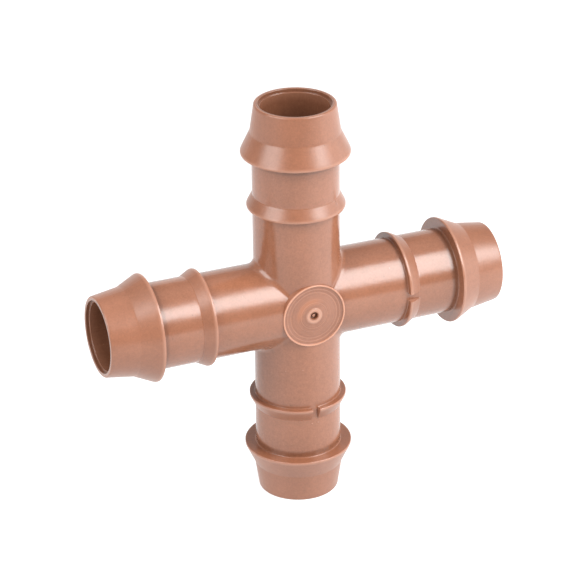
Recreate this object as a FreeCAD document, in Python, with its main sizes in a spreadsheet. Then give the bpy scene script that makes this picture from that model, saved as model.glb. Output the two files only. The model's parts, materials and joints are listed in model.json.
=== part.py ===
import FreeCAD, Part
import os

import Sketcher

# A four-way barbed insert fitting for dripline tube: a cross moulded in one shot of brown plastic.
# Four equal spigots leave one hub at right angles, all in the XZ plane. Each spigot carries a low
# grip ring near the hub, a taller end barb and a tapered nose. A round gate pad sits on the front
# of the hub, facing -Y. The origin is where the two tube axes cross. Lengths are in millimetres.

SIZES = {
    # the two tubes and the hub
    "spigot_diameter": 14.0,
    "wall_thickness": 1.4,
    "arm_length": 34.1,
    "hub_fillet": 1.2,
    "hub_collar": 1.3,
    # nose and mouth
    "nose_length": 4.7,
    "nose_root_rise": 0.25,
    "nose_tip_drop": 0.45,
    "nose_blend": 0.6,
    "mouth_relief_step": 0.28,
    "mouth_relief_depth": 0.6,
    "mouth_outer_round": 0.28,
    "mouth_inner_round": 0.1,
    # end barb
    "end_barb_length": 3.6,
    "end_barb_height": 1.8,
    "end_barb_land": 0.33,
    "end_barb_root_fillet": 0.16,
    # plain seat that the tube shrinks onto, between the end barb and the grip ring
    "seat_length": 6.95,
    # grip ring and its notch
    "grip_ring_length": 2.15,
    "grip_ring_height": 0.94,
    "grip_ring_land": 0.33,
    "grip_ring_root_fillet": 0.16,
    "crest_round": 0.13,
    "notch_width": 1.1,
    # gate pad
    "gate_pad_diameter": 10.7,
    "gate_pad_rise": 0.19,
    "gate_pad_bedding": 0.7,
    "gate_rim_width": 0.26,
    "gate_floor_depth": 0.24,
    "gate_collar_diameter": 2.6,
    "gate_collar_height": 0.12,
    "gate_pit_diameter": 1.3,
    "gate_pit_depth": 0.35,
    "gate_stub_diameter": 0.6,
    "gate_stub_height": 0.3,
    # how far a cutter runs past what it cuts
    "cutter_overrun": 0.2,
}

# Each spigot points up in its own body. It is clocked about its own axis, which carries the notch
# from the front towards +X, and then swung about Y into its arm of the cross. Angles in degrees.
SPIGOTS = {
    "top_spigot": {"swing": 0, "clocking": 180},
    "right_spigot": {"swing": 90, "clocking": 0},
    "bottom_spigot": {"swing": 180, "clocking": 0},
    "left_spigot": {"swing": 270, "clocking": 180},
}

TUBE_RADIUS = "sizes.spigot_diameter / 2"
BORE_RADIUS = f"{TUBE_RADIUS} - sizes.wall_thickness"
HUB_REACH = f"{TUBE_RADIUS} + sizes.hub_fillet + sizes.hub_collar"

# Stations along a spigot, measured from the centre of the cross.
MOUTH = "sizes.arm_length"
MOUTH_STEP = f"{MOUTH} - sizes.mouth_relief_depth"
NOSE_ROOT = f"{MOUTH} - sizes.nose_length"
BARB_FACE = f"{NOSE_ROOT} - sizes.end_barb_length"
RING_BASE = f"{BARB_FACE} - sizes.seat_length"
RING_FACE = f"{RING_BASE} - sizes.grip_ring_length"

# Radii of a spigot.
NOSE_TIP_RADIUS = f"{TUBE_RADIUS} - sizes.nose_tip_drop"
NOSE_ROOT_RADIUS = f"{TUBE_RADIUS} + sizes.nose_root_rise"
BARB_RADIUS = f"{TUBE_RADIUS} + sizes.end_barb_height"
RING_RADIUS = f"{TUBE_RADIUS} + sizes.grip_ring_height"
RELIEF_RADIUS = f"{BORE_RADIUS} + sizes.mouth_relief_step"

# Depths of the gate pad, measured forwards from the centre of the cross.
PAD_FACE = f"{TUBE_RADIUS} + sizes.gate_pad_rise"
PAD_FLOOR = f"{PAD_FACE} - sizes.gate_floor_depth"
PAD_BACK = f"({BORE_RADIUS}) / 2"
BED_RADIUS = f"{TUBE_RADIUS} - sizes.gate_pad_bedding"

# The two tubes' directions: how a bar is turned from +Z, and the axis that it then runs along.
DIRECTIONS = {
    "upright": (FreeCAD.Rotation(), "z"),
    "level": (FreeCAD.Rotation(FreeCAD.Vector(0, 1, 0), 90), "x"),
}
FACING_FRONT = FreeCAD.Rotation(FreeCAD.Vector(1, 0, 0), 90)

TOUCH = 1e-4  # how near a measured edge must be to the place where it is looked for


def make_size_sheet(doc):
    """The driving dimensions, one aliased cell each."""
    sheet = doc.addObject("Spreadsheet::Sheet", "sizes")
    for row, (alias, value) in enumerate(SIZES.items(), start=1):
        sheet.set(f"A{row}", alias)
        sheet.set(f"B{row}", str(value))
        sheet.setAlias(f"B{row}", alias)
    doc.recompute()
    return sheet


def origin_plane(body, role):
    """One of the body's own origin planes."""
    return next(plane for plane in body.Origin.OriginFeatures if plane.Role == role)


def new_sketch(body, name, role):
    """An empty sketch on one of the body's own origin planes."""
    sketch = body.newObject("Sketcher::SketchObject", name)
    sketch.AttachmentSupport = [(origin_plane(body, role), "")]
    sketch.MapMode = "FlatFace"
    return sketch


def bind_dimension(sketch, kind, line, value, name):
    """Places a line's start point along one sketch axis, bound to an expression."""
    index = sketch.addConstraint(Sketcher.Constraint(kind, -1, 1, line, 1, sketch.evalExpression(value)))
    sketch.renameConstraint(index, name)
    sketch.setExpression(f"Constraints.{name}", value)


def draw_outline(sketch, corners):
    """A closed outline through named corners, each an (across, along) pair of expressions.

    A line whose two corners share an expression is held upright or level instead of being
    dimensioned twice.
    """
    names = list(corners)
    places = [FreeCAD.Vector(*(sketch.evalExpression(value) for value in corners[name]), 0) for name in names]
    for start, end in zip(places, places[1:] + places[:1]):
        sketch.addGeometry(Part.LineSegment(start, end), False)
    for line in range(len(names)):
        sketch.addConstraint(Sketcher.Constraint("Coincident", line, 2, (line + 1) % len(names), 1))
    for line, name in enumerate(names):
        across, along = corners[name]
        before = corners[names[line - 1]] if line else (None, None)
        if across == before[0]:
            sketch.addConstraint(Sketcher.Constraint("Vertical", line - 1))
        else:
            bind_dimension(sketch, "DistanceX", line, across, f"{name}_across")
        if along == before[1]:
            sketch.addConstraint(Sketcher.Constraint("Horizontal", line - 1))
        else:
            bind_dimension(sketch, "DistanceY", line, along, f"{name}_along")


def revolve(body, kind, name, sketch):
    """A full turn of a sketch about its own upright axis, adding or cutting."""
    feature = body.newObject(kind, name)
    feature.Profile = sketch
    feature.ReferenceAxis = (sketch, ["V_Axis"])
    feature.Angle = 360
    return feature


def circle_edges(feature, radius, station):
    """Names of the feature's circular edges about Z with this radius at this height."""
    wanted_radius = feature.evalExpression(radius)
    wanted_height = feature.evalExpression(station)
    found = []
    for number, edge in enumerate(feature.Shape.Edges, start=1):
        curve = edge.Curve
        if curve.TypeId != "Part::GeomCircle":
            continue
        if abs(curve.Radius - wanted_radius) < TOUCH and abs(curve.Center.z - wanted_height) < TOUCH:
            found.append(f"Edge{number}")
    return found


def round_edges(body, name, places, radius):
    """Fillets the circular edges at the given (radius, station) places."""
    body.Document.recompute()
    base = body.Tip
    edges = [edge for place in places for edge in circle_edges(base, *place)]
    if len(edges) != len(places):
        raise RuntimeError(f"{name}: found {len(edges)} edges for {len(places)} places")
    fillet = body.newObject("PartDesign::Fillet", name)
    fillet.Base = (base, edges)
    fillet.setExpression("Radius", radius)
    return fillet


def make_spigot(doc, name, swing, clocking):
    """One barbed spigot, from the hub's end face to the mouth, built pointing up."""
    body = doc.addObject("PartDesign::Body", f"{name}_body")
    body.Label = name

    section = new_sketch(body, f"{name}_section", "XZ_Plane")
    draw_outline(section, {
        "bore_at_hub": (BORE_RADIUS, HUB_REACH),
        "tube_at_hub": (TUBE_RADIUS, HUB_REACH),
        "ring_root": (TUBE_RADIUS, RING_FACE),
        "ring_crest": (RING_RADIUS, RING_FACE),
        "ring_land_end": (RING_RADIUS, f"{RING_FACE} + sizes.grip_ring_land"),
        "ring_base": (TUBE_RADIUS, RING_BASE),
        "barb_root": (TUBE_RADIUS, BARB_FACE),
        "barb_crest": (BARB_RADIUS, BARB_FACE),
        "barb_land_end": (BARB_RADIUS, f"{BARB_FACE} + sizes.end_barb_land"),
        "nose_root": (NOSE_ROOT_RADIUS, NOSE_ROOT),
        "nose_tip": (NOSE_TIP_RADIUS, MOUTH),
        "mouth_edge": (RELIEF_RADIUS, MOUTH),
        "relief_step": (RELIEF_RADIUS, MOUTH_STEP),
        "bore_at_step": (BORE_RADIUS, MOUTH_STEP),
    })
    revolve(body, "PartDesign::Revolution", f"{name}_turned", section)

    round_edges(body, f"{name}_barb_root", [(TUBE_RADIUS, BARB_FACE)], "sizes.end_barb_root_fillet")
    round_edges(body, f"{name}_ring_root", [(TUBE_RADIUS, RING_FACE)], "sizes.grip_ring_root_fillet")
    round_edges(body, f"{name}_nose_blend", [(NOSE_ROOT_RADIUS, NOSE_ROOT)], "sizes.nose_blend")
    round_edges(body, f"{name}_mouth_outside", [(NOSE_TIP_RADIUS, MOUTH)], "sizes.mouth_outer_round")
    round_edges(body, f"{name}_mouth_inside", [(RELIEF_RADIUS, MOUTH)], "sizes.mouth_inner_round")
    crests = [
        (RING_RADIUS, RING_FACE),
        (RING_RADIUS, f"{RING_FACE} + sizes.grip_ring_land"),
        (BARB_RADIUS, BARB_FACE),
        (BARB_RADIUS, f"{BARB_FACE} + sizes.end_barb_land"),
    ]
    round_edges(body, f"{name}_crests", crests, "sizes.crest_round")

    # The notch goes through the grip ring at the front, down to the tube's own surface.
    notch_outline = new_sketch(body, f"{name}_notch_outline", "YZ_Plane")
    notch_outside = f"-({RING_RADIUS} + sizes.cutter_overrun)"
    notch_start = f"{RING_FACE} - sizes.grip_ring_root_fillet - sizes.cutter_overrun"
    notch_end = f"{RING_BASE} + sizes.cutter_overrun"
    draw_outline(notch_outline, {
        "floor_start": (f"-({TUBE_RADIUS})", notch_start),
        "floor_end": (f"-({TUBE_RADIUS})", notch_end),
        "outside_end": (notch_outside, notch_end),
        "outside_start": (notch_outside, notch_start),
    })
    notch = revolve(body, "PartDesign::Groove", f"{name}_notch", notch_outline)
    notch.Midplane = True
    notch.setExpression("Angle", "2 * asin(sizes.notch_width / sizes.spigot_diameter)")

    turn_to_arm = FreeCAD.Rotation(FreeCAD.Vector(0, 1, 0), swing)
    turn_notch = FreeCAD.Rotation(FreeCAD.Vector(0, 0, 1), clocking)
    body.Placement = FreeCAD.Placement(FreeCAD.Vector(0, 0, 0), turn_to_arm * turn_notch)
    return body


def centre_bar(bar, radius, direction):
    """Makes a round bar as long as the hub, centred on the origin, upright or level."""
    rotation, along = DIRECTIONS[direction]
    bar.Placement = FreeCAD.Placement(FreeCAD.Vector(0, 0, 0), rotation)
    bar.setExpression(f"Placement.Base.{along}", f"-({HUB_REACH})")
    bar.setExpression("Radius", radius)
    bar.setExpression("Height", f"2 * ({HUB_REACH})")
    return bar


def crease_edges(feature):
    """Names of the edges where the two tubes meet, which run diagonally between the poles."""
    found = []
    for number, edge in enumerate(feature.Shape.Edges, start=1):
        middle = edge.valueAt((edge.FirstParameter + edge.LastParameter) / 2)
        if abs(abs(middle.x) - abs(middle.z)) < TOUCH and abs(middle.x) > TOUCH:
            found.append(f"Edge{number}")
    return found


def make_hub_blank(doc):
    """The two crossing tubes with their crease fillets and their crossed bores."""
    body = doc.addObject("PartDesign::Body", "hub_blank")
    for direction in DIRECTIONS:
        tube = body.newObject("PartDesign::AdditiveCylinder", f"{direction}_tube")
        centre_bar(tube, TUBE_RADIUS, direction)
    doc.recompute()
    creases = body.newObject("PartDesign::Fillet", "hub_creases")
    creases.Base = (tube, crease_edges(tube))
    creases.setExpression("Radius", "sizes.hub_fillet")
    for direction in DIRECTIONS:
        bore = body.newObject("PartDesign::SubtractiveCylinder", f"{direction}_bore")
        centre_bar(bore, BORE_RADIUS, direction)
    return body


def make_pad_blank(doc):
    """The gate pad turned in one piece, pointing up, deeper than the hub's surface needs."""
    body = doc.addObject("PartDesign::Body", "gate_pad_blank")
    pad_edge = "sizes.gate_pad_diameter / 2"
    rim_inside = f"{pad_edge} - sizes.gate_rim_width"
    collar_edge = "sizes.gate_collar_diameter / 2"
    collar_top = f"{PAD_FLOOR} + sizes.gate_collar_height"
    pit_edge = "sizes.gate_pit_diameter / 2"
    pit_floor = f"{PAD_FLOOR} - sizes.gate_pit_depth"
    stub_edge = "sizes.gate_stub_diameter / 2"
    stub_top = f"{pit_floor} + sizes.gate_stub_height"
    section = new_sketch(body, "gate_pad_section", "XZ_Plane")
    draw_outline(section, {
        "back_centre": ("0", PAD_BACK),
        "back_edge": (pad_edge, PAD_BACK),
        "rim_outside": (pad_edge, PAD_FACE),
        "rim_inside": (rim_inside, PAD_FACE),
        "floor_edge": (rim_inside, PAD_FLOOR),
        "collar_foot": (collar_edge, PAD_FLOOR),
        "collar_outside": (collar_edge, collar_top),
        "collar_inside": (pit_edge, collar_top),
        "pit_edge": (pit_edge, pit_floor),
        "stub_foot": (stub_edge, pit_floor),
        "stub_outside": (stub_edge, stub_top),
        "stub_centre": ("0", stub_top),
    })
    revolve(body, "PartDesign::Revolution", "gate_pad_turned", section)
    body.Placement = FreeCAD.Placement(FreeCAD.Vector(0, 0, 0), FACING_FRONT)
    return body


def join(doc, kind, name, base, tool):
    """A boolean of two objects: Part::Fuse or Part::Cut."""
    result = doc.addObject(kind, name)
    result.Base = base
    result.Tool = tool
    result.Label = name
    return result


def make_hub_and_pad(doc):
    """The hub with the pad's bed cut out of its front, and the pad that fills it.

    The bed's floor runs parallel to both tubes, one bedding depth under their surface. Hub and pad
    are cut by the same shapes, so they meet face to face.
    """
    bars = [
        centre_bar(doc.addObject("Part::Cylinder", f"{direction}_core"), BED_RADIUS, direction)
        for direction in DIRECTIONS
    ]
    core = join(doc, "Part::Fuse", "bed_core", *bars)
    plug = doc.addObject("Part::Cylinder", "pad_plug")
    plug.Placement = FreeCAD.Placement(FreeCAD.Vector(0, 0, 0), FACING_FRONT)
    plug.setExpression("Radius", "sizes.gate_pad_diameter / 2")
    plug.setExpression("Height", f"{PAD_FACE} + sizes.cutter_overrun")
    bed = join(doc, "Part::Cut", "pad_bed", plug, core)

    hub = join(doc, "Part::Cut", "hub", make_hub_blank(doc), bed)
    gate_pad = join(doc, "Part::Cut", "gate_pad", make_pad_blank(doc), core)
    return [hub, gate_pad]


def check_document(doc, pieces):
    """Stops on a failed object, a cut that removes nothing, or a piece that isn't one sound solid."""
    for item in doc.Objects:
        if "Invalid" in item.State or "Error" in item.State:
            raise RuntimeError(f"{item.Name} failed: {item.State}")
        if item.TypeId in ("PartDesign::SubtractiveCylinder", "PartDesign::Groove"):
            removed = item.BaseFeature.Shape.Volume - item.Shape.Volume
            if removed < TOUCH:
                raise RuntimeError(f"{item.Name} cuts nothing")
            print(f"{item.Name} cuts {removed:.3f} mm3")
    for piece in pieces:
        shape = piece.Shape
        if shape.isNull() or not shape.isValid() or len(shape.Solids) != 1:
            raise RuntimeError(f"{piece.Label} is not one valid solid")


def export_pieces(pieces):
    """Writes each piece to parts/NODE.step, in the cross's own frame."""
    os.makedirs("parts", exist_ok=True)
    for piece in pieces:
        box = piece.Shape.optimalBoundingBox()
        piece.Shape.exportStep(os.path.join("parts", f"{piece.Label}.step"))
        print(
            f"{piece.Label}: {piece.Shape.Volume:.1f} mm3,"
            f" X {box.XMin:.2f} to {box.XMax:.2f},"
            f" Y {box.YMin:.2f} to {box.YMax:.2f},"
            f" Z {box.ZMin:.2f} to {box.ZMax:.2f}"
        )


def main():
    doc = FreeCAD.newDocument("cross_fitting")
    make_size_sheet(doc)
    pieces = make_hub_and_pad(doc)
    for name, angles in SPIGOTS.items():
        pieces.append(make_spigot(doc, name, angles["swing"], angles["clocking"]))
    doc.recompute()
    check_document(doc, pieces)
    export_pieces(pieces)


main()
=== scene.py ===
# %% [markdown]
# # A cross fitting for brown dripline
# Four barbed spigots leave one hub at right angles. The real fitting is a single shot of brown
# plastic, so its charm lies in small things: crisp barbs, thin bright crests, soft creases between
# the tubes, and the round pad where the plastic was let into the mould.
#
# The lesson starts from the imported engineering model. Its box and its mounts give the sizes, so
# that the visible pieces land exactly where the working ones are.

# %% Load the frame
import json
import math

import bmesh
import bpy
import numpy as np
from mathutils import Matrix, Quaternion, Vector


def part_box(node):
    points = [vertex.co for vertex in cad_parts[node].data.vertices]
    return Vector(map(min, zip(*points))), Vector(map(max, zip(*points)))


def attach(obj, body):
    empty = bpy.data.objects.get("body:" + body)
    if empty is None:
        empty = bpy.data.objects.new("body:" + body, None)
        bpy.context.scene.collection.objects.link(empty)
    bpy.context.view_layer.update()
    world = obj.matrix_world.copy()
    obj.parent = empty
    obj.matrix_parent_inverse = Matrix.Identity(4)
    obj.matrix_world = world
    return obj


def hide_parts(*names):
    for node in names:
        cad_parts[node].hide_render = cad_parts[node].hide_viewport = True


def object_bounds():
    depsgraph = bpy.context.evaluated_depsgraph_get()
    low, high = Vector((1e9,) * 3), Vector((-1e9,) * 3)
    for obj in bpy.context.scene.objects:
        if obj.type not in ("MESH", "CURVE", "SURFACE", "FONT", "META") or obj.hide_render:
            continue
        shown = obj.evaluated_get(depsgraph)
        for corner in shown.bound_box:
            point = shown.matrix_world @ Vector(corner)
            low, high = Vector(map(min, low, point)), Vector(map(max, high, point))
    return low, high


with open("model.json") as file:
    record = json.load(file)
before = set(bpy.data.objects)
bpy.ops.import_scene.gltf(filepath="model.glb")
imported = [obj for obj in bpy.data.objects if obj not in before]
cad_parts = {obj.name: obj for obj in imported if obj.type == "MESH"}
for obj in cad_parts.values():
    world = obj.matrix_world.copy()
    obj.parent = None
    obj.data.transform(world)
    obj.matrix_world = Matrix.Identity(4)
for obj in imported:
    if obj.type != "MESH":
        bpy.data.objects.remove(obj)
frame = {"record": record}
cad_low, cad_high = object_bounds()
print("engineering box:", list(cad_low), list(cad_high))

# %% [markdown]
# The driving sizes are read from the frame: how far the arms reach, how thick the tubes are and
# where the hub ends. Everything else is a small named length in millimetres, because the whole
# fitting fits in a palm.

# %% Sizes from the frame
MM = 0.001
REACH = cad_high.x
HUB_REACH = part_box("hub")[1].x
TUBE_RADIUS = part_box("hub")[1].y
BARB_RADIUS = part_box("top_spigot")[1].x
PAD_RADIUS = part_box("gate_pad")[1].x
PAD_FACE = -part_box("gate_pad")[0].y
bores = [mount for mount in frame["record"]["mounts"] if mount["kind"] == "bore"]
BORE_RADIUS = bores[0]["dims"]["r_mm"] * MM
print(f"reach {REACH / MM:.2f} mm, tube radius {TUBE_RADIUS / MM:.2f} mm")
print(f"bore radius {BORE_RADIUS / MM:.2f} mm")

# %% [markdown]
# ## The camera
# The fitting is seen from a little to the left and well above, through a long lens that keeps the
# arms almost parallel. An angle round the upright axis, an angle above the horizon and a distance
# say that more plainly than a position would, so the camera is placed from those.

# %% Place the camera
CAMERA_AZIMUTH = math.radians(-22.797)
CAMERA_ELEVATION = math.radians(26.281)
CAMERA_ROLL = math.radians(-0.582)
CAMERA_DISTANCE = 436.7 * MM
CAMERA_TARGET = Vector((-0.583, 0, 0.905)) * MM
CAMERA_LENS = 165.7


def toward(azimuth, elevation):
    """The direction at an azimuth (0 is the front, growing to the right) and elevation, in radians."""
    level = math.cos(elevation)
    return Vector((math.sin(azimuth) * level, -math.cos(azimuth) * level, math.sin(elevation)))


def place_camera():
    """A long-lens camera that looks at the fitting, with a very slight roll."""
    camera = bpy.data.objects.new("camera", bpy.data.cameras.new("camera"))
    camera.data.lens = CAMERA_LENS
    camera.data.clip_start = 10 * MM
    backward = toward(CAMERA_AZIMUTH, CAMERA_ELEVATION)
    level_right = (-backward).cross(Vector((0, 0, 1))).normalized()
    level_up = backward.cross(level_right)
    right = level_right * math.cos(CAMERA_ROLL) + level_up * math.sin(CAMERA_ROLL)
    up = level_up * math.cos(CAMERA_ROLL) - level_right * math.sin(CAMERA_ROLL)
    turn = Matrix((right, up, backward)).transposed().to_4x4()
    camera.matrix_world = Matrix.Translation(CAMERA_TARGET + backward * CAMERA_DISTANCE) @ turn
    bpy.context.scene.collection.objects.link(camera)
    bpy.context.scene.camera = camera
    return camera


camera = place_camera()
bpy.context.scene.view_settings.view_transform = "Standard"
print("camera at", [round(value / MM, 1) for value in camera.matrix_world.translation], "mm")

# %% [markdown]
# ## Shader maths in plain Python
# A finish is a small sum: a colour here, a little noise there. Two classes keep it readable. A
# `Reading` is a socket that takes part in ordinary arithmetic, and each operator adds the Math
# node it needs. A `Finish` is one material with a single method that adds any node at all.

# %% Readings and finishes
class Reading:
    """A socket that can stand in a Python expression."""

    def __init__(self, finish, socket):
        self.finish = finish
        self.socket = socket

    def maths(self, operation, first, second):
        return self.finish.node("ShaderNodeMath", {"operation": operation}, {0: first, 1: second})

    def __add__(self, other):
        return self.maths("ADD", self, other)

    def __rsub__(self, other):
        return self.maths("SUBTRACT", other, self)

    def __mul__(self, other):
        return self.maths("MULTIPLY", self, other)

    __radd__ = __add__
    __rmul__ = __mul__


class Finish:
    """One material or world, built node by node."""

    def __init__(self, owner):
        owner.use_nodes = True
        self.owner = owner
        self.tree = owner.node_tree
        self.tree.nodes.clear()

    def node(self, kind, settings=None, inputs=None, output=0):
        """Adds a node, sets it up, then fills or links its sockets. Returns one output."""
        made = self.tree.nodes.new(kind)
        for key, value in (settings or {}).items():
            setattr(made, key, value)
        for key, value in (inputs or {}).items():
            if isinstance(value, Reading):
                self.tree.links.new(value.socket, made.inputs[key])
            else:
                made.inputs[key].default_value = value
        return Reading(self, made.outputs[output]) if made.outputs else None

    def ramp(self, value, low, high):
        """0 below low, 1 above high, and an easy curve between them."""
        return self.node(
            "ShaderNodeMapRange",
            {"interpolation_type": "SMOOTHSTEP"},
            {"Value": value, "From Min": low, "From Max": high},
        )

    def tint(self, amount, first, second):
        """A colour that goes from the first to the second as amount goes from 0 to 1."""
        return self.node("ShaderNodeMix", {"data_type": "RGBA"}, {0: amount, 6: first, 7: second}, output=2)

    def shade(self, colour, amount):
        """The colour made lighter or darker: amount is a number that multiplies all of it."""
        return self.node("ShaderNodeVectorMath", {"operation": "SCALE"}, {0: colour, "Scale": amount})

    def grain(self, place, scale, detail=2.0, roughness=0.5):
        """Noise from 0 to 1 at a place given in millimetres. Scale is how many lumps fit in one."""
        return self.node("ShaderNodeTexNoise", None, {
            "Vector": place,
            "Scale": scale,
            "Detail": detail,
            "Roughness": roughness,
        })

    def along(self, place, direction):
        """How far a place reaches in the given direction."""
        return self.node(
            "ShaderNodeVectorMath", {"operation": "DOT_PRODUCT"}, {0: place, 1: direction}, output=1
        )

    def painted(self, layer, output):
        """A layer painted on the mesh: output 1 reads it as a place, output 2 as a number."""
        return self.node("ShaderNodeAttribute", {"attribute_name": layer}, output=output)

    def own_place(self):
        """The place on the object, in millimetres."""
        return self.shade(self.node("ShaderNodeTexCoord", output=3), 1 / MM)

    def surface(self, shader, kind="ShaderNodeOutputMaterial"):
        self.node(kind, None, {"Surface": shader})
        return self.owner


# %% [markdown]
# ## The studio
# The fitting stands on a light table. A pale wall stands to the right and behind, and the room on
# the left is dark. That darkness matters: it is what lets the brown stay saturated between the
# highlights. The sky is therefore a world shader with a bright side, a dim side and a faint glow
# overhead, instead of one even grey.

# %% The surround
WALL_BRIGHT = 0.95
ROOM_DIM = 0.32
OVERHEAD = 0.5
WALL_DIRECTION = (0.77, 0.64, 0)


def make_surround():
    """A world that is pale low down on the right and behind, and dim on the left and in front."""
    world = bpy.data.worlds.new("surround")
    bpy.context.scene.world = world
    room = Finish(world)
    direction = room.node("ShaderNodeTexCoord")
    upward = room.node("ShaderNodeSeparateXYZ", None, {0: direction}, output=2)
    wall = room.ramp(room.along(direction, WALL_DIRECTION), -0.2, 0.6) * (1 - room.ramp(upward, 0.2, 0.6))
    strength = wall * WALL_BRIGHT + room.ramp(upward, 0.6, 0.95) * OVERHEAD + ROOM_DIM
    light = room.node("ShaderNodeBackground", None, {"Color": (1.0, 1.0, 1.0, 1.0), "Strength": strength})
    return room.surface(light, "ShaderNodeOutputWorld")


make_surround()
print("surround from", ROOM_DIM, "to", round(ROOM_DIM + WALL_BRIGHT, 2))

# %% [markdown]
# The table is a broad disc under the lowest mouth. It is lit from within, so the fitting casts
# hardly any shadow and its underside stays readable. The lit field is brighter behind and to the
# right, and it fades out more than a hand's width in front, which keeps the steep noses dark where
# they mirror the table's front. The pale acrylic has a faint cloudiness and a soft sheen.

# %% The light table
TABLE_RADIUS = 3.0
TABLE_GLOW = 0.82
FIELD_LEVEL = 0.76
REAR_GAIN = 0.24
SIDE_GAIN = 0.5
# Where each change of the field starts and ends, in metres from the fitting.
FIELD_FADE = (0.16, 0.42)
FIELD_REAR = (-0.14, 0.02)
FIELD_SIDE = (0.015, 0.075)


def make_table():
    """A pale round table top at the height of the lowest mouth."""
    outline = bmesh.new()
    bmesh.ops.create_circle(outline, cap_ends=True, segments=96, radius=TABLE_RADIUS)
    bmesh.ops.translate(outline, verts=outline.verts, vec=(0, 0, cad_low.z))
    mesh = bpy.data.meshes.new("light_table")
    outline.to_mesh(mesh)
    outline.free()
    table = bpy.data.objects.new("light_table", mesh)
    bpy.context.scene.collection.objects.link(table)
    acrylic = Finish(bpy.data.materials.new("pale_acrylic"))
    place = acrylic.node("ShaderNodeTexCoord", output=3)
    cloud = acrylic.grain(place, 6.0)
    ahead = acrylic.along(place, tuple(toward(math.radians(-30), 0)))
    aside = acrylic.along(place, tuple(toward(math.radians(75), 0)))
    field = FIELD_LEVEL + REAR_GAIN * acrylic.ramp(ahead, *FIELD_REAR)
    field = field + SIDE_GAIN * acrylic.ramp(aside, *FIELD_SIDE)
    field = field * (1 - acrylic.ramp(ahead, *FIELD_FADE))
    lit = acrylic.shade(acrylic.tint(cloud, (0.98, 0.99, 1.0, 1), (1.0, 1.0, 1.0, 1)), field)
    body = acrylic.node("ShaderNodeBsdfPrincipled", None, {
        "Base Color": acrylic.tint(cloud, (0.33, 0.33, 0.335, 1), (0.37, 0.37, 0.37, 1)),
        "Roughness": 0.5 + 0.1 * cloud,
        "Emission Color": lit,
        "Emission Strength": TABLE_GLOW,
    })
    mesh.materials.append(acrylic.surface(body))
    return table


table = make_table()
print("table top at", round(cad_low.z / MM, 2), "mm")

# %% [markdown]
# Three soft sources do the modelling. A big softbox at the front right, with its head tilted, draws
# the long highlight on the level arms. A tall one on the left edges the barbs, and a low card on
# the right fills the shadow side. Each is described by where it stands, how wide it looks from the
# fitting, how far it is tilted and how bright its face is, and its power follows from those.

# %% Softboxes
SOFTBOX_DISTANCE = 0.6
SOFTBOXES = {
    "key_softbox": {"azimuth": 41.5, "elevation": 40, "width": 39, "height": 41, "radiance": 9.3, "tilt": 22},
    "left_softbox": {"azimuth": -79, "elevation": 34, "width": 40, "height": 46, "radiance": 5.2},
    "right_card": {"azimuth": 74, "elevation": -2, "width": 44, "height": 34, "radiance": 1.1},
}


def add_softbox(name, azimuth, elevation, width, height, radiance, tilt=0):
    """A rectangular light that faces the fitting. Angles are in degrees."""
    lamp = bpy.data.lights.new(name, "AREA")
    lamp.shape = "RECTANGLE"
    lamp.size = 2 * SOFTBOX_DISTANCE * math.tan(math.radians(width / 2))
    lamp.size_y = 2 * SOFTBOX_DISTANCE * math.tan(math.radians(height / 2))
    lamp.energy = radiance * math.pi * lamp.size * lamp.size_y
    softbox = bpy.data.objects.new(name, lamp)
    outward = toward(math.radians(azimuth), math.radians(elevation))
    softbox.location = outward * SOFTBOX_DISTANCE
    facing = outward.to_track_quat("Z", "Y") @ Quaternion((0, 0, 1), math.radians(tilt))
    softbox.rotation_euler = facing.to_euler()
    softbox.visible_camera = False
    bpy.context.scene.collection.objects.link(softbox)
    return softbox


for name, look in SOFTBOXES.items():
    print(name, f"{add_softbox(name, **look).data.energy:.2f} W")

# %% [markdown]
# ## The plastic
# Up close, moulded brown plastic is never one brown. The pigment is a little cloudy, it is drawn
# into faint streaks along the flow, and it holds a few light and dark specks. Thin crests and small
# edges get a salmon glow of painted light, standing in for the light that thin plastic lets through
# and for the highlights on rounded edges. The seat just before each end barb is painted darker, a
# painted shadow. The skin has an orange peel about ten microns deep over a finer grain, and it is
# duller on the grip ring's flare and on the nose.
#
# All pieces use the same object coordinates, so the clouding runs on across the joints between
# them. Two painted layers come with each mesh: one says where the salmon glow of painted light
# goes on crests, lips and small edges, and `flow_place` gives a place along its own arm, for the
# streaks.

# %% Brown plastic
BROWN = (0.265, 0.105, 0.057, 1)
DEEP_BROWN = (0.235, 0.092, 0.049, 1)
GLOW_SALMON = (0.37, 0.175, 0.113, 1)
PALE_SPECK = (0.38, 0.23, 0.16, 1)
DARK_SPECK = (0.12, 0.05, 0.028, 1)
PLASTIC_IOR = 1.6
MICRON = 1e-6
# Stretches of an arm, in millimetres from the hub's middle: the duller skin, and the painted
# shadow on the seat just before the end barb.
GRAINY_BANDS = ((16.85, 18.85), (25.95, 40.0))
ROOT_SHADOW_BAND = (24.4, 25.8)
ROOT_SHADOW = 0.28


def stretch(finish, place, across, along):
    """A place squeezed across an arm and drawn out along it, so that noise on it runs in streaks."""
    squeeze = (across, across, along)
    return finish.node("ShaderNodeVectorMath", {"operation": "MULTIPLY"}, {0: place, 1: squeeze})


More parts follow.
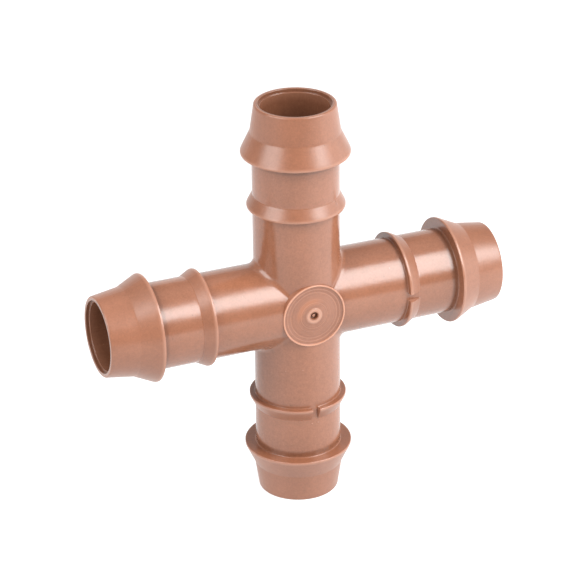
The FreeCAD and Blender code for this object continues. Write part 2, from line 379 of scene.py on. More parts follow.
def pigment(finish, place, flow):
    """The plastic's colour before any painted glow or painted shadow: clouds, streaks, grain and specks."""
    cloud = finish.grain(place, 0.16, detail=3.0)
    streaks = finish.grain(stretch(finish, flow, 1.0, 0.05), 0.9, detail=3.0)
    fine = finish.grain(place, 3.6, detail=2.0, roughness=0.6)
    brown = finish.tint(finish.ramp(cloud * 0.85 + streaks * 0.15, 0.25, 0.75), DEEP_BROWN, BROWN)
    mottle = finish.grain(place, 1.5, detail=1.0)
    brown = finish.shade(brown, 0.68 + 0.4 * fine + 0.18 * mottle + 0.06 * cloud)
    pale = finish.ramp(finish.grain(place, 2.3, detail=1.0), 0.78, 0.84)
    dark = finish.ramp(finish.grain(stretch(finish, place, 1.13, 1.0), 1.9, detail=1.0), 0.745, 0.81)
    brown = finish.tint(pale * 0.6, brown, PALE_SPECK)
    return finish.tint(dark * 0.5, brown, DARK_SPECK)


def peel(finish, place, depth, fine_depth, extra=None):
    """The moulded skin: an orange peel of the given depth over a fine grain, as a normal."""
    height = finish.grain(place, 0.95, detail=1.0) * depth
    height = height + finish.grain(place, 4.2, detail=2.0) * fine_depth
    if extra is not None:
        height = height + extra
    return finish.node("ShaderNodeBump", None, {"Strength": 1.0, "Distance": MICRON, "Height": height})


def within(finish, value, low, high, soft):
    """1 where value lies between low and high, with soft ends."""
    return finish.ramp(value, low, low + soft) * (1 - finish.ramp(value, high - soft, high))


def make_skin():
    """The outside of the hub and the spigots."""
    skin = Finish(bpy.data.materials.new("moulded_brown"))
    place = skin.own_place()
    flow = skin.painted("flow_place", 1)
    edge_glow = skin.painted("painted_edge_glow", 2)
    scuffs = skin.ramp(skin.grain(stretch(skin, flow, 3.0, 0.4), 0.8, detail=3.0), 0.56, 0.7)
    station = skin.node("ShaderNodeSeparateXYZ", None, {0: flow}, output=2)
    grainy = sum(within(skin, station, *band, 0.15) for band in GRAINY_BANDS)
    # Painted shadow: the seat is darkened just before the end barb, where the barb shades it.
    root = within(skin, station, *ROOT_SHADOW_BAND, 0.6)
    brown = skin.shade(pigment(skin, place, flow), 1 - ROOT_SHADOW * root)
    # Painted light: a salmon glow wherever the painted layer marks crests and edges.
    body = skin.node("ShaderNodeBsdfPrincipled", None, {
        "Base Color": skin.tint(edge_glow, brown, GLOW_SALMON),
        "Roughness": 0.19 + 0.04 * skin.grain(place, 0.5) + 0.05 * scuffs + 0.10 * grainy,
        "IOR": PLASTIC_IOR,
        "Normal": peel(skin, place, 9.0, 3.4 + 2.4 * grainy),
    })
    return skin.surface(body)


moulded_brown = make_skin()
print("outside finish has", len(moulded_brown.node_tree.nodes), "nodes")

# %% [markdown]
# The bore is the cast of a polished steel core. It is smoother than the outside, and as the core
# was drawn out it left fine lines that run along the tube. Its brown is painted darker, a painted
# shade for the dim inside of the tube.

# %% Bore plastic
def make_bore_finish():
    """The inside of the tubes: glossier, with lengthwise drag lines and a painted shade."""
    bore = Finish(bpy.data.materials.new("drawn_bore_brown"))
    place = bore.own_place()
    flow = bore.painted("flow_place", 1)
    edge_glow = bore.painted("painted_edge_glow", 2)
    drag = bore.grain(stretch(bore, flow, 4.0, 0.06), 1.0, detail=3.0)
    # Painted shade: the brown is darkened to about half inside the tube, and the drag lines vary it.
    brown = bore.shade(pigment(bore, place, flow), 0.55 + 0.16 * drag)
    # Painted light: the salmon glow on the mouth's lip and the relief's step.
    body = bore.node("ShaderNodeBsdfPrincipled", None, {
        "Base Color": bore.tint(edge_glow, brown, GLOW_SALMON),
        "Roughness": 0.15 + 0.08 * drag,
        "IOR": PLASTIC_IOR,
        "Normal": peel(bore, place, 4.0, 0.8, extra=drag * 3.0),
    })
    return bore.surface(body)


drawn_bore_brown = make_bore_finish()
print("bore finish has", len(drawn_bore_brown.node_tree.nodes), "nodes")

# %% [markdown]
# The gate pad copies the face of a turned steel insert, so its skin carries the lathe's rings.
# Distance from the pad's middle is all that the rings need. The broad ones are in the mesh, and
# the finest live here, in the bump and in a slight change of tone. The collar round the gate is
# paler, and above and to the left a crescent is painted warmer and lighter: painted light for the
# side of the swelling floor that faces the lamps.

# %% Gate pad plastic
LIP_GLOW_SALMON = (0.46, 0.215, 0.135, 1)
COLLAR_SALMON = (0.47, 0.255, 0.18, 1)
LIT_WARM_BROWN = (0.33, 0.118, 0.053, 1)
# Distances from the pad's middle, in millimetres.
COLLAR_BAND = (0.7, 1.45)
LIT_CRESCENT_BAND = (1.7, 3.2)
LIT_CRESCENT_DIRECTION = (-0.6, 0, 0.8)


def make_pad_finish():
    """The gate pad: the same brown under fine turned rings, with a crescent of painted light on its upper
    left.
    """
    pad = Finish(bpy.data.materials.new("turned_pad_brown"))
    place = pad.own_place()
    flat = pad.node("ShaderNodeVectorMath", {"operation": "MULTIPLY"}, {0: place, 1: (1, 0, 1)})
    out = pad.node("ShaderNodeVectorMath", {"operation": "LENGTH"}, {0: flat}, output=1)
    turning = {"W": out, "Scale": 3.4, "Detail": 4.0}
    rings = pad.node("ShaderNodeTexNoise", {"noise_dimensions": "1D"}, turning)
    edge_glow = pad.painted("painted_edge_glow", 2)
    brown = pad.shade(pigment(pad, place, place), 0.76 + 0.48 * rings)
    # Painted light: a warmer, lighter crescent on the upper left of the floor.
    up_left = pad.along(place, LIT_CRESCENT_DIRECTION)
    lit_crescent = within(pad, out, *LIT_CRESCENT_BAND, 0.6) * pad.ramp(up_left, 0.4, 2.2)
    brown = pad.tint(0.75 * lit_crescent, brown, LIT_WARM_BROWN)
    brown = pad.tint(0.55 * within(pad, out, *COLLAR_BAND, 0.2), brown, COLLAR_SALMON)
    # Painted light: the salmon glow on the lip, collar and stub.
    body = pad.node("ShaderNodeBsdfPrincipled", None, {
        "Base Color": pad.tint(edge_glow, brown, LIP_GLOW_SALMON),
        "Roughness": 0.20 + 0.12 * rings,
        "IOR": PLASTIC_IOR,
        "Normal": peel(pad, place, 5.0, 2.0, extra=rings * 9.0),
    })
    return pad.surface(body)


turned_pad_brown = make_pad_finish()
print("pad finish has", len(turned_pad_brown.node_tree.nodes), "nodes")

# %% [markdown]
# ## Turning outlines into skins
# Every part of this fitting is turned, so an outline is the natural way to describe it. An outline
# is a short list of corners, each with its radius from the axis, its station along the axis and
# how much it is rounded. The helper turns corners into arcs and breaks long runs into short ones.

# %% Rounded outlines
ARC_STEP = math.radians(14)


def rounded_outline(corners, spacing):
    """Points through (radius, station, rounding) corners, in metres, no further apart than spacing."""
    places = [np.array(corner[:2], float) for corner in corners]
    points = [places[0]]

    def run_to(end):
        start = points[-1]
        steps = max(1, math.ceil(np.linalg.norm(end - start) / spacing))
        points.extend(start + (end - start) * step / steps for step in range(1, steps + 1))

    roundings = [corner[2] for corner in corners[1:]]
    for before, corner, after, rounding in zip(places, places[1:], places[2:], roundings):
        back = (before - corner) / np.linalg.norm(before - corner)
        on = (after - corner) / np.linalg.norm(after - corner)
        opening = math.acos(np.clip(back @ on, -1, 1))
        turning = math.pi - opening
        if rounding == 0 or turning < 1e-3:
            run_to(corner)
            continue
        centre = corner + (back + on) / np.linalg.norm(back + on) * rounding / math.sin(opening / 2)
        run_to(corner + back * rounding / math.tan(opening / 2))
        first = points[-1] - centre
        last = corner + on * rounding / math.tan(opening / 2) - centre
        steps = max(3, math.ceil(turning / ARC_STEP))
        for step in range(1, steps + 1):
            share = step / steps
            spread = first * math.sin((1 - share) * turning) + last * math.sin(share * turning)
            points.append(centre + spread / math.sin(turning))
    run_to(places[-1])
    return np.array(points)


def eased(value):
    """The smooth step from 0 to 1."""
    value = np.clip(value, 0, 1)
    return value * value * (3 - 2 * value)


print("an arc turns", round(math.degrees(ARC_STEP)), "degrees or less between points")

# %% [markdown]
# A piece is sewn together from grids of points. Each grid brings its painted layers and its
# finish. The sewing welds points that meet, turns all faces outward and keeps sharp only the
# edges that turn by more than a set angle. A sound piece comes out closed, and the count of open
# edges says so.

# %% Sewing grids into a piece
WELD = 0.0004 * MM
SHARP_TURN = math.radians(38)
OUTSIDE, INSIDE = 0, 1


class Skin:
    """Grids of points that will make one piece."""

    def __init__(self):
        self.points = []
        self.faces = []
        self.finishes = []
        self.edge_glow = []
        self.flow = []
        self.count = 0

    def add(self, grid, edge_glow=0.0, flow=None, finish=OUTSIDE, closed=False):
        """Adds rows of points. A closed grid joins its last column to its first."""
        rows, columns = grid.shape[:2]
        self.points.append(grid.reshape(-1, 3))
        self.edge_glow.append(np.broadcast_to(edge_glow, (rows, columns)).reshape(-1))
        self.flow.append((grid if flow is None else flow).reshape(-1, 3) / MM)
        numbers = np.arange(rows * columns).reshape(rows, columns) + self.count
        if closed:
            numbers = np.concatenate([numbers, numbers[:, :1]], axis=1)
        corners = (numbers[:-1, :-1], numbers[:-1, 1:], numbers[1:, 1:], numbers[1:, :-1])
        made = np.stack([corner.reshape(-1) for corner in corners], axis=1)
        self.faces.extend(made.tolist())
        self.finishes.extend([finish] * len(made))
        self.count += rows * columns

    def sew(self, name, materials):
        """Makes the object from the grids and prints how many of its edges are open."""
        mesh = bpy.data.meshes.new(name)
        mesh.from_pydata(np.concatenate(self.points).tolist(), [], self.faces)
        for material in materials:
            mesh.materials.append(material)
        mesh.polygons.foreach_set("material_index", self.finishes)
        edge_glow = mesh.attributes.new("painted_edge_glow", "FLOAT", "POINT")
        edge_glow.data.foreach_set("value", np.concatenate(self.edge_glow).astype(np.float32))
        flow = mesh.attributes.new("flow_place", "FLOAT_VECTOR", "POINT")
        flow.data.foreach_set("vector", np.concatenate(self.flow).astype(np.float32).ravel())
        sewn = bmesh.new()
        sewn.from_mesh(mesh)
        bmesh.ops.remove_doubles(sewn, verts=sewn.verts, dist=WELD)
        bmesh.ops.dissolve_degenerate(sewn, edges=sewn.edges, dist=WELD / 4)
        bmesh.ops.recalc_face_normals(sewn, faces=sewn.faces)
        open_edges = sum(not edge.is_manifold for edge in sewn.edges)
        sewn.to_mesh(mesh)
        sewn.free()
        mesh.polygons.foreach_set("use_smooth", [True] * len(mesh.polygons))
        mesh.set_sharp_from_angle(angle=SHARP_TURN)
        piece = bpy.data.objects.new(name, mesh)
        bpy.context.scene.collection.objects.link(piece)
        print(f"{name}: {len(mesh.polygons)} faces, {open_edges} open edges")
        return piece


def fit_piece(piece, node):
    """The piece rides on the fitting in place of its engineering node."""
    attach(piece, "root")
    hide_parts(node)


# %% [markdown]
# ## Marks of the mould
# A mould leaves traces that the eye reads as real. The tubes are never perfectly round, so a slow
# wave of about a hundredth of a millimetre runs round them. A hairline follows the plane where the
# two halves of the mould met, along both sides of every tube.

# %% Waves and the mould's hairline
HAIRLINE_HEIGHT = 0.014 * MM
HAIRLINE_WIDTH = 0.055 * MM


def slow_wave(angle, station, seed):
    """A gentle swell between -1 and 1 that closes on itself round the tube."""
    along = station / MM
    return (
        0.45 * np.sin(2 * angle + 0.11 * along + 1.3 * seed)
        + 0.33 * np.sin(3 * angle - 0.23 * along + 2.9 * seed)
        + 0.22 * np.sin(7 * angle + 0.41 * along + 5.1 * seed)
    )


def ragged_wave(angle, seed):
    """A quicker unevenness, for thin crests that never fill quite evenly."""
    return (
        0.4 * np.sin(11 * angle + 2.1 * seed)
        + 0.35 * np.sin(23 * angle + 4.7 * seed)
        + 0.25 * np.sin(41 * angle + 0.9 * seed)
    )


def bell(distance, width):
    """A smooth bump: 1 at no distance, and falling away over the width."""
    return np.exp(-((distance / width) ** 2))


def hairline(distance):
    """Height of the mould's hairline at a distance from the plane where the halves met."""
    return HAIRLINE_HEIGHT * bell(distance, HAIRLINE_WIDTH)


print("hairline", HAIRLINE_HEIGHT / MM, "mm high")

# %% [markdown]
# ## A spigot
# A spigot is a turned shape, so its mesh is a lathe grid: an outline carried round the axis. From
# the hub outward come the grip ring, the plain seat that the hose shrinks onto, the tall end barb
# and the tapered nose. The grid then goes round the lip of the mouth and back down the bore, and
# closes on itself, so the wall has its real thickness.

# %% Sizes of a spigot
NOSE_LENGTH = 4.7 * MM
NOSE_ROOT_RADIUS = TUBE_RADIUS + 0.25 * MM
NOSE_TIP_RADIUS = TUBE_RADIUS - 0.45 * MM
NOSE_BLEND = 0.6 * MM
BARB_LENGTH = 3.6 * MM
BARB_LAND = 0.33 * MM
BARB_ROOT_ROUND = 0.16 * MM
SEAT_LENGTH = 6.95 * MM
RING_LENGTH = 2.15 * MM
RING_RADIUS = TUBE_RADIUS + 0.94 * MM
RING_LAND = 0.33 * MM
RING_ROOT_ROUND = 0.16 * MM
CREST_ROUND = 0.13 * MM
FLARE_ROUND = 0.12 * MM
RELIEF_RADIUS = BORE_RADIUS + 0.28 * MM
RELIEF_DEPTH = 0.6 * MM
LIP_OUTER_ROUND = 0.28 * MM
LIP_INNER_ROUND = 0.1 * MM
STEP_ROUND = 0.05 * MM

NOSE_ROOT = REACH - NOSE_LENGTH
BARB_FACE = NOSE_ROOT - BARB_LENGTH
RING_BASE = BARB_FACE - SEAT_LENGTH
RING_FACE = RING_BASE - RING_LENGTH
print(f"ring face at {RING_FACE / MM:.2f} mm, barb face at {BARB_FACE / MM:.2f} mm")

# %% [markdown]
# The outline comes in two halves that meet on the lip. The outside half is spaced closely enough
# to carry the slow wave, and the bore half only needs its step and two long runs.

# %% Outlines of a spigot
ROW_SPACING = 0.36 * MM
NIB_STATION = RING_BASE + 0.75 * MM
NIB_SIZE = 0.085 * MM


def spigot_outside():
    """From the hub's end face, over the grip ring, the seat, the barb and the nose, to the lip."""
    return rounded_outline([
        (TUBE_RADIUS, HUB_REACH, 0),
        (TUBE_RADIUS, RING_FACE, RING_ROOT_ROUND),
        (RING_RADIUS, RING_FACE, CREST_ROUND),
        (RING_RADIUS, RING_FACE + RING_LAND, CREST_ROUND),
        (TUBE_RADIUS, RING_BASE, FLARE_ROUND),
        (TUBE_RADIUS, NIB_STATION - 2.5 * NIB_SIZE, 0),
        *[(TUBE_RADIUS, NIB_STATION + step * NIB_SIZE / 2, 0) for step in range(-4, 5)],
        (TUBE_RADIUS, NIB_STATION + 2.5 * NIB_SIZE, 0),
        (TUBE_RADIUS, BARB_FACE, BARB_ROOT_ROUND),
        (BARB_RADIUS, BARB_FACE, CREST_ROUND),
        (BARB_RADIUS, BARB_FACE + BARB_LAND, CREST_ROUND),
        (NOSE_ROOT_RADIUS, NOSE_ROOT, NOSE_BLEND),
        (NOSE_TIP_RADIUS, REACH, LIP_OUTER_ROUND),
        ((NOSE_TIP_RADIUS + RELIEF_RADIUS) / 2, REACH, 0),
    ], ROW_SPACING)


def spigot_inside():
    """From the lip, past the relief and its step, down the bore to the hub."""
    return rounded_outline([
        ((NOSE_TIP_RADIUS + RELIEF_RADIUS) / 2, REACH, 0),
        (RELIEF_RADIUS, REACH, LIP_INNER_ROUND),
        (RELIEF_RADIUS, REACH - RELIEF_DEPTH, STEP_ROUND),
        (BORE_RADIUS, REACH - RELIEF_DEPTH, STEP_ROUND),
        (BORE_RADIUS, HUB_REACH, 0),
    ], 4 * ROW_SPACING)


outside_rows = spigot_outside()
inside_rows = spigot_inside()
print(len(outside_rows), "rows outside and", len(inside_rows), "inside")

# %% [markdown]
# The grip ring is broken by one narrow notch. Cutting it with a boolean would leave long thin
# faces, so the grid itself makes it: extra columns stand close together at the notch's two walls,
# and between them each row drops from the ring's outline to the tube's own surface.

# %% Columns round a spigot
NOTCH_WIDTH = 1.1 * MM
NOTCH_WALL = 0.045 * MM
COLUMN_COUNT = 240
NOTCH_STEPS = (-0.07, -0.045, -0.0225, -0.008, 0.008, 0.0225, 0.045, 0.07, 0.11, 0.16)
HAIRLINE_STEPS = (-0.15, -0.09, -0.055, -0.025, 0.0, 0.025, 0.055, 0.09, 0.15)


def spigot_columns(clocking, marks=()):
    """Angles round the tube: even ones, and close ones at the notch, the hairline and any mark."""
    close = [mark + step * MM / TUBE_RADIUS for mark in marks for step in HAIRLINE_STEPS]
    for side in (-1, 1):
        walls = [NOTCH_WIDTH / 2 + step * MM for step in NOTCH_STEPS]
        close += [clocking + side * math.asin(wall / TUBE_RADIUS) for wall in walls]
        close += [side * math.pi / 2 + step * MM / TUBE_RADIUS for step in HAIRLINE_STEPS]
    close = np.mod(np.array(close), 2 * math.pi)
    even = np.arange(COLUMN_COUNT) * 2 * math.pi / COLUMN_COUNT
    apart = np.abs(np.mod(even[:, None] - close + math.pi, 2 * math.pi) - math.pi).min(axis=1)
    return np.sort(np.concatenate([even[apart > 0.2 * 2 * math.pi / COLUMN_COUNT], close]))


print(len(spigot_columns(0.0)), "columns round a spigot")

# %% [markdown]
# The outline and the columns now make a grid of radii and stations, and every mark of the mould is
# a small change to those two numbers. Waves only ever take material away from the barb's crest, so
# that the piece stays within its box.

# %% Shape a spigot
WAVE_DEPTH = 0.010 * MM
CREST_DEPTH = 0.022 * MM
CREST_DRIFT = 0.020 * MM
SCAR_STATION = RING_BASE - 0.45 * MM
SCAR_WIDTH = 0.09 * MM
SCAR_LENGTH = 0.3 * MM
NICK_WIDTH = 0.13 * MM
JOG_WIDTH = 0.2 * MM
CREST_FADE = 0.14 * MM


def near_crest(radius, station, crest_radius, face, land):
    """1 on a crest's land, falling to 0 a short way from it."""
    along = np.maximum(np.maximum(face - station, station - face - land), 0)
    gap = np.hypot(crest_radius - radius, along)
    return 1 - eased(gap / CREST_FADE)


def shape_outside(angles, clocking, seed, nibs, nicks, jogs, scars):
    """Radii, stations and painted edge glow of a spigot's outside, by row and column."""
    radius = np.repeat(outside_rows[:, :1], len(angles), axis=1)
    station = np.repeat(outside_rows[:, 1:], len(angles), axis=1)
    ring_crest = near_crest(radius, station, RING_RADIUS, RING_FACE, RING_LAND)
    barb_crest = near_crest(radius, station, BARB_RADIUS, BARB_FACE, BARB_LAND)
    crest = np.maximum(ring_crest, barb_crest)
    lip = near_crest(radius, station, NOSE_TIP_RADIUS - LIP_OUTER_ROUND, REACH, 0)
    # Painted light: a salmon glow on the crests and, fainter, on the lip.
    edge_glow = np.maximum(0.65 * crest, 0.25 * lip)

    radius = radius - WAVE_DEPTH * (1 + slow_wave(angles, station, seed)) / 2
    radius = radius - CREST_DEPTH * crest * (1 + ragged_wave(angles, seed)) / 2
    station = station + CREST_DRIFT * crest * ragged_wave(angles, seed + 0.7)
    for angle, depth in nicks:
        radius = radius - barb_crest * depth * bell((angles - angle) * BARB_RADIUS, NICK_WIDTH)
    for angle, shift in jogs:
        station = station + ring_crest * shift * bell((angles - angle) * RING_RADIUS, JOG_WIDTH)

    across = TUBE_RADIUS * np.sin(angles - clocking)
    at_front = np.cos(angles - clocking) > 0
    kept = np.where(at_front, eased((np.abs(across) - NOTCH_WIDTH / 2) / NOTCH_WALL + 0.5), 1.0)
    in_ring = (outside_rows[:, 1] > RING_FACE - 1.01 * RING_ROOT_ROUND) & (outside_rows[:, 1] < RING_BASE)
    ring_rows = np.flatnonzero(in_ring)
    floor_station = np.interp(
        np.arange(len(outside_rows)), [ring_rows[0], ring_rows[-1]], outside_rows[ring_rows[[0, -1]], 1]
    )[:, None]
    kept = np.where(in_ring[:, None], kept, 1.0)
    # The notch's walls get the painted glow as well.
    edge = np.where(in_ring[:, None], 4 * kept * (1 - kept), 0) * (radius - TUBE_RADIUS > 0.1 * MM)
    edge_glow = np.maximum(edge_glow * kept, 0.5 * edge)
    radius = TUBE_RADIUS + (radius - TUBE_RADIUS) * kept
    station = floor_station + (station - floor_station) * kept

    radius = radius + hairline(TUBE_RADIUS * np.cos(angles))
    for angle, depth in scars:
        sideways = bell((angles - angle) * RING_RADIUS, SCAR_WIDTH)
        radius = radius - depth * sideways * bell(station - SCAR_STATION, SCAR_LENGTH)
    # Each nib is raised and also gets a bright painted glint.
    for angle, height in nibs:
        bump = bell(np.hypot((angles - angle) * TUBE_RADIUS, station - NIB_STATION), NIB_SIZE)
        radius = radius + height * bump
        edge_glow = np.maximum(edge_glow, 1.6 * bump)
    return radius, station, edge_glow


def make_spigot(name, swing, clocking, seed, nibs=(), nicks=(), jogs=(), scars=()):
    """One spigot: a lathe grid pointing up, then swung into its arm of the cross."""
    angles = spigot_columns(clocking, [angle for angle, _ in (*nibs, *scars)])
    signed = np.mod(angles + math.pi, 2 * math.pi) - math.pi
    radius, station, edge_glow = shape_outside(signed, clocking, seed, nibs, nicks, jogs, scars)
    bore_radius = np.repeat(inside_rows[:, :1], len(angles), axis=1)
    bore_station = np.repeat(inside_rows[:, 1:], len(angles), axis=1)
    bore_radius = bore_radius + 0.4 * WAVE_DEPTH * slow_wave(signed, bore_station, seed + 2.2)
    bore_radius[0] = radius[-1]
    # Painted highlights: a glow along the mouth's inner edge and the relief's step.
    mouth_edge = near_crest(bore_radius, bore_station, RELIEF_RADIUS, REACH, 0)
    step_edge = near_crest(bore_radius, bore_station, BORE_RADIUS, REACH - RELIEF_DEPTH, 0)
    bore_edge_glow = np.maximum(0.55 * mouth_edge, 0.35 * step_edge)
    bore_edge_glow[0] = edge_glow[-1]

    turn = np.array(Matrix.Rotation(swing, 3, "Y")).T
    skin = Skin()
    end_radius = np.stack([bore_radius[-1], radius[0]])
    end_station = np.stack([bore_station[-1], station[0]])
    for wall_radius, wall_station, wall_edge_glow, finish in (
        (radius, station, edge_glow, OUTSIDE),
        (bore_radius, bore_station, bore_edge_glow, INSIDE),
        (end_radius, end_station, 0.0, OUTSIDE),
    ):
        across, depth = wall_radius * np.sin(angles), -wall_radius * np.cos(angles)
        upright = np.stack([across, depth, wall_station], axis=2)
        skin.add(upright @ turn, wall_edge_glow, flow=upright, finish=finish, closed=True)
    return skin.sew(name, [moulded_brown, drawn_bore_brown])


# %% [markdown]
# The four spigots differ only in where their notch is clocked, in front or behind, and in the odd
# flaw. The top one has a small scar in its ring. The lowest has two pinprick nibs near its notch
# and a nick in its barb, and the right one has a small jog in its ring. Flaws like these are small
# enough to be missed, and things look wrong without them.

# %% Make the spigots
SPIGOTS = {
    "top_spigot": {"swing": 0, "clocking": 180, "seed": 1.0, "scars": [(math.radians(38.5), 0.2 * MM)]},
    "right_spigot": {"swing": 90, "clocking": 0, "seed": 2.0, "jogs": [(math.radians(-19), 0.07 * MM)]},
    "bottom_spigot": {
        "swing": 180,
        "clocking": 0,
        "seed": 3.0,
        "nibs": [(math.radians(-4.5), 0.12 * MM), (math.radians(4.0), 0.09 * MM)],
        "nicks": [(math.radians(1.5), 0.07 * MM)],
    },
    "left_spigot": {"swing": 270, "clocking": 180, "seed": 4.0},
}

for name, look in SPIGOTS.items():
    turned = {**look, "swing": math.radians(look["swing"]), "clocking": math.radians(look["clocking"])}
    fit_piece(make_spigot(name, **turned), name)

# %% [markdown]
# ## The hub
# Two tubes cross at the hub, and a ball of constant radius could roll along each of the four
# creases between them. That rolling ball is the honest way to draw a moulded fillet, and here it
# has an exact formula. The ball's centre stays one ball radius off both tubes, and the fillet is
# the arc between the two points that it touches.
#
# All angles are measured from the front pole, at -90 degrees, to the back pole, at 90 degrees,
# where the tubes touch each other and the crease fades out.

# %% The crossing tubes
CREASE_ROUND = 1.2 * MM
CREASE_STEPS = 12
ARM_STEPS = 14
BALL_PATH = TUBE_RADIUS + CREASE_ROUND


def crease_points(angle, share):
    """Points on the crease fillet between the upper and right tubes, and their outward normals."""
    zero = np.zeros_like(angle)
    on_upright = np.stack([np.cos(angle), np.sin(angle), zero], axis=-1)
    on_level = np.stack([zero, np.sin(angle), np.cos(angle)], axis=-1)
    opening = np.arccos(np.clip(np.sin(angle) ** 2, -1, 1))[..., None]
    share = np.asarray(share)[..., None]
    safe = np.maximum(np.sin(opening), 1e-9)
    normal = (np.sin((1 - share) * opening) * on_upright + np.sin(share * opening) * on_level) / safe
    normal = np.where(opening < 1e-5, on_upright, normal)
    centre = BALL_PATH * np.stack([np.cos(angle), np.sin(angle), np.cos(angle)], axis=-1)
    return centre - CREASE_ROUND * normal, normal


def angle_at_pad(share):
    """The angle at which a line along the crease fillet runs in under the gate pad."""
    low, high = math.radians(-89.9), math.radians(-20)
    for _ in range(50):
        middle = (low + high) / 2
        point = crease_points(np.array(middle), share)[0]
        if math.hypot(point[0], point[2]) < PAD_RADIUS:
            low = middle
        else:
            high = middle
    return high


PAD_CORNER = angle_at_pad(0.0)
even_angles = np.radians(np.arange(-90, 90.1, 1.5))
close_angles = np.array(HAIRLINE_STEPS) * MM / TUBE_RADIUS
special_angles = np.append(close_angles, PAD_CORNER)
apart = np.abs(even_angles[:, None] - special_angles).min(axis=1)
hub_angles = np.sort(np.concatenate([even_angles[apart > math.radians(0.3)], special_angles]))
print(f"creases leave the pad at {math.degrees(PAD_CORNER):.1f} degrees; {len(hub_angles)} angles per side")

# %% [markdown]
# Each arm is a sleeve of the tube that starts on the crease, or on the pad's edge where that comes
# first, and ends on the hub's flat face. Making one arm and one crease and turning them by quarter
# turns gives the whole cross, and shared angles make the points along their borders coincide.

# %% Arms, creases and bores of the hub
def quarter_turns(grid):
    """The grid in its four places round the cross."""
    for quarter in range(4):
        yield grid @ np.array(Matrix.Rotation(quarter * math.pi / 2, 3, "Y")).T


def upright_sleeve(radius, start, line):
    """The upper arm's sleeve, from start(angle) up to the hub's face. Columns run right round it."""
    around = np.concatenate([hub_angles, hub_angles[-2:0:-1]])
    side = np.concatenate([np.ones(len(hub_angles)), -np.ones(len(hub_angles) - 2)])
    out = radius + line * hairline(radius * around)
    first = start(around)
    height = first + (HUB_REACH - first) * np.linspace(0, 1, ARM_STEPS)[:, None]
    across = np.broadcast_to(side * out * np.cos(around), height.shape)
    depth = np.broadcast_to(out * np.sin(around), height.shape)
    return np.stack([across, depth, height], axis=2)


def tube_start(angle):
    """Where the upper arm's outer skin starts: on its crease, or on the edge of the gate pad."""
    across = TUBE_RADIUS * np.cos(angle)
    at_pad = np.sqrt(np.maximum(PAD_RADIUS**2 - across**2, 0))
    return np.where(angle < PAD_CORNER + 1e-9, at_pad, BALL_PATH * np.cos(angle))


def crease_patch():
    """The fillet between the upper and right arms, from the gate pad's edge to the back pole."""
    shares = np.linspace(0, 1, CREASE_STEPS + 1)
    travel = hub_angles[hub_angles >= PAD_CORNER - 1e-9]
    travel = (travel - PAD_CORNER) / (math.pi / 2 - PAD_CORNER)
    starts = np.array([angle_at_pad(share) for share in shares])
    angles = starts + (math.pi / 2 - starts) * travel[:, None]
    points, normals = crease_points(angles, np.broadcast_to(shares, angles.shape))
    return points + normals * hairline(TUBE_RADIUS * angles)[..., None]


sleeve = upright_sleeve(TUBE_RADIUS, tube_start, 1.0)
patch = crease_patch()
bore_sleeve = upright_sleeve(BORE_RADIUS, lambda angle: BORE_RADIUS * np.abs(np.cos(angle)), 0.0)
print("sleeve", sleeve.shape, "crease", patch.shape)

# %% [markdown]
# The pad sits in a bed at the front of the hub. The bed's wall hangs from the points where the
# sleeves and creases stop, sorted by their angle round the pad, so nothing has to be cut.

# %% The pad's bed, and the hub sewn together
BED_RADIUS = TUBE_RADIUS - 0.7 * MM
WALL_STEPS = 5
FLOOR_STEPS = 12


def bed_depth(across, height):
    """How far forward the bed's floor lies: parallel to whichever tube is the prouder."""
    return -np.sqrt(BED_RADIUS**2 - np.minimum(np.abs(across), np.abs(height)) ** 2)


def pad_border():
    """Every point where the hub's skin meets the pad, in order round it."""
    starts = [grid[0] for grid in quarter_turns(sleeve)] + [grid[0] for grid in quarter_turns(patch)]
    points = np.concatenate(starts)
    on_edge = np.abs(np.hypot(points[:, 0], points[:, 2]) - PAD_RADIUS) < 1e-3 * MM
    points = points[on_edge & (points[:, 1] < 0)]
    turn = np.arctan2(points[:, 0], points[:, 2])
    points = points[np.argsort(turn)]
    turn = np.sort(turn)
    fresh = np.concatenate([[True], np.diff(turn) > 1e-5])
    return points[fresh]


def make_hub():
    """The hub: sleeves, creases, bores, end faces and the bed, sewn into one closed skin."""
    skin = Skin()
    for turned_sleeve, turned_bore, turned_patch in zip(*map(quarter_turns, (sleeve, bore_sleeve, patch))):
        skin.add(turned_sleeve, closed=True)
        skin.add(turned_bore, finish=INSIDE, closed=True)
        skin.add(turned_patch)
        skin.add(np.stack([turned_sleeve[-1], turned_bore[-1]]), closed=True)
    border = pad_border()
    floor = border.copy()
    floor[:, 1] = bed_depth(border[:, 0], border[:, 2])
    drop = np.linspace(0, 1, WALL_STEPS)[:, None, None]
    skin.add(border + (floor - border) * drop, closed=True)
    shrink = np.linspace(1, 0, FLOOR_STEPS)[:, None]
    across, height = border[:, 0] * shrink, border[:, 2] * shrink
    skin.add(np.stack([across, bed_depth(across, height), height], axis=2), closed=True)
    return skin.sew("hub", [moulded_brown, drawn_bore_brown])


fit_piece(make_hub(), "hub")

# %% [markdown]
# ## The gate pad
# Plastic enters the mould at the pad's middle. The gate breaks off there and leaves a torn stub
# in a small pit, inside a raised collar. Round it the floor swells very slightly and carries the
# rings of the turned insert, and a thin lip runs round the edge.

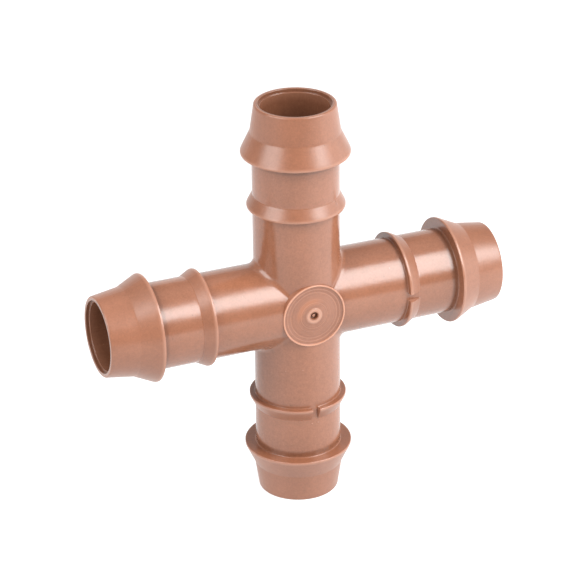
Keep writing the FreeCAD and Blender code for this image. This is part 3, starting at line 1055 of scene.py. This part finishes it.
# %% Sizes and outline of the gate pad
LIP_WIDTH = 0.26 * MM
PAD_FLOOR = PAD_FACE - 0.24 * MM
MOUND_RADIUS = 4.0 * MM
MOUND_FOOT = PAD_FLOOR - 0.08 * MM
MOUND_TOP = PAD_FLOOR + 0.165 * MM
COLLAR_RADIUS = 1.35 * MM
COLLAR_TOP = PAD_FLOOR + 0.225 * MM
PIT_RADIUS = 0.65 * MM
PIT_FLOOR = PAD_FLOOR - 0.5 * MM
STUB_RADIUS = 0.3 * MM
STUB_TOP = PIT_FLOOR + 0.42 * MM
RING_PITCH = 0.43 * MM
RING_DEPTH = 0.0035 * MM
PAD_COLUMNS = 288


def pad_outline():
    """From the stub's middle outward over the pit, collar, floor and lip to the pad's edge."""
    return rounded_outline([
        (0, STUB_TOP, 0),
        (STUB_RADIUS * 0.8, STUB_TOP, 0.05 * MM),
        (STUB_RADIUS, PIT_FLOOR, 0.04 * MM),
        (PIT_RADIUS * 0.9, PIT_FLOOR, 0.06 * MM),
        (PIT_RADIUS, COLLAR_TOP, 0.05 * MM),
        (COLLAR_RADIUS - 0.12 * MM, COLLAR_TOP, 0.06 * MM),
        (COLLAR_RADIUS, MOUND_TOP, 0.06 * MM),
        (MOUND_RADIUS, MOUND_FOOT, 0.5 * MM),
        (PAD_RADIUS - LIP_WIDTH - 0.03 * MM, PAD_FLOOR, 0.06 * MM),
        (PAD_RADIUS - LIP_WIDTH, PAD_FACE, 0.06 * MM),
        (PAD_RADIUS, PAD_FACE, 0.09 * MM),
        (PAD_RADIUS, PAD_FLOOR, 0),
    ], 0.055 * MM)


pad_rows = pad_outline()
print(len(pad_rows), "rows on the gate pad")

# %% [markdown]
# The pad's front is another lathe grid, this time about the axis that points at the viewer. The
# stub is pulled about so that it looks torn, and the lip wanders in width. Behind, the pad follows
# its bed in the hub, which it meets face to face.

# %% Make the gate pad
def make_gate_pad():
    """The pad: a turned front and a saddle-shaped back."""
    angles = np.arange(PAD_COLUMNS) * 2 * math.pi / PAD_COLUMNS
    out = np.repeat(pad_rows[:, :1], PAD_COLUMNS, axis=1)
    forward = np.repeat(pad_rows[:, 1:], PAD_COLUMNS, axis=1)

    past_collar = eased((out - COLLAR_RADIUS) / (0.2 * MM))
    on_floor = past_collar * eased((PAD_RADIUS - LIP_WIDTH - out) / (0.2 * MM))
    rings = np.sin(2 * math.pi * out / RING_PITCH + 0.25 * np.sin(3 * angles))
    rings = rings + 0.6 * np.sin(2 * math.pi * out / (0.61 * RING_PITCH) + 1.0)
    forward = forward + RING_DEPTH * on_floor * rings

    near_edge = eased((out - PAD_RADIUS + 1.5 * LIP_WIDTH) / (0.5 * LIP_WIDTH))
    on_lip = near_edge * eased((forward - PAD_FLOOR) / (0.1 * MM))
    forward = forward - 0.03 * MM * on_lip * (1 + ragged_wave(angles, 1.9)) / 2
    inner_side = on_lip * (out < PAD_RADIUS - 0.5 * LIP_WIDTH)
    out = out + 0.03 * MM * inner_side * slow_wave(angles, 0.0, 0.4)

    on_stub = eased((forward - PIT_FLOOR) / (0.2 * MM)) * (out < STUB_RADIUS * 1.05)
    torn = on_stub * (0.5 * np.sin(2 * angles + 0.6) + 0.3 * np.sin(5 * angles)) * out / STUB_RADIUS
    forward = forward + 0.09 * MM * torn
    # Painted light: a glow on the lip, the collar and the torn stub.
    collar = near_crest(out, forward, (PIT_RADIUS + COLLAR_RADIUS) / 2, COLLAR_TOP, 0)
    edge_glow = np.maximum(np.maximum(on_lip, 0.7 * collar), 0.9 * on_stub)

    front = np.stack([out * np.sin(angles), -forward, out * np.cos(angles)], axis=2)
    edge = front[-1]
    foot = edge.copy()
    foot[:, 1] = bed_depth(edge[:, 0], edge[:, 2])
    drop = np.linspace(0, 1, WALL_STEPS)[:, None, None]
    shrink = np.linspace(1, 0, FLOOR_STEPS)[:, None]
    across, height = foot[:, 0] * shrink, foot[:, 2] * shrink
    skin = Skin()
    skin.add(front, edge_glow, closed=True)
    skin.add(edge + (foot - edge) * drop, closed=True)
    skin.add(np.stack([across, bed_depth(across, height), height], axis=2), closed=True)
    return skin.sew("gate_pad", [turned_pad_brown])


fit_piece(make_gate_pad(), "gate_pad")
